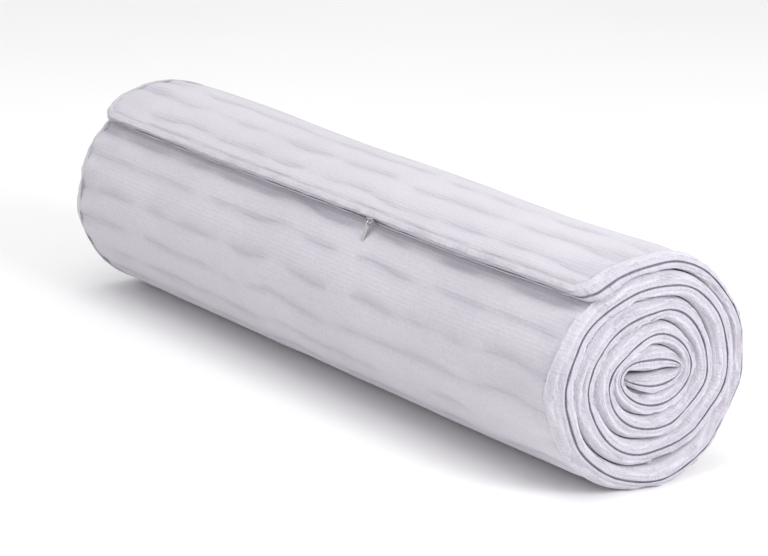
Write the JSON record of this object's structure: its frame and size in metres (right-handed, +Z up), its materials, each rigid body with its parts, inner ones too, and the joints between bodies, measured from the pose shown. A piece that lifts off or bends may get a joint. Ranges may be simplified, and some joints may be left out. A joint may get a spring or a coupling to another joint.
{
  "type": "rolled foam mattress",
  "caption": "Foam mattress in a ribbed knit cover with a zip round its border, pressed thin and rolled up along its length, lying on its side.",
  "frame": {"origin": "on the ground, under the middle of the roll's box", "axes": "+X along the roll, which is the mattress's width; +Z up; the free end shows on the -Y side, above half height"},
  "size_m": [0.9006, 0.2482, 0.2378],
  "materials": {
    "cover": "off-white, faintly lilac ribbed knit cloth, matt",
    "zip_tape": "grey woven tape with a nylon chain",
    "zip_metal": "nickel plated, slightly worn"
  },
  "bodies": {
    "root": {"mattress_roll": "cover", "zip": "zip_tape", "zip_slider": "zip_metal", "zip_pull": "zip_metal"}
  },
  "joints": []
}
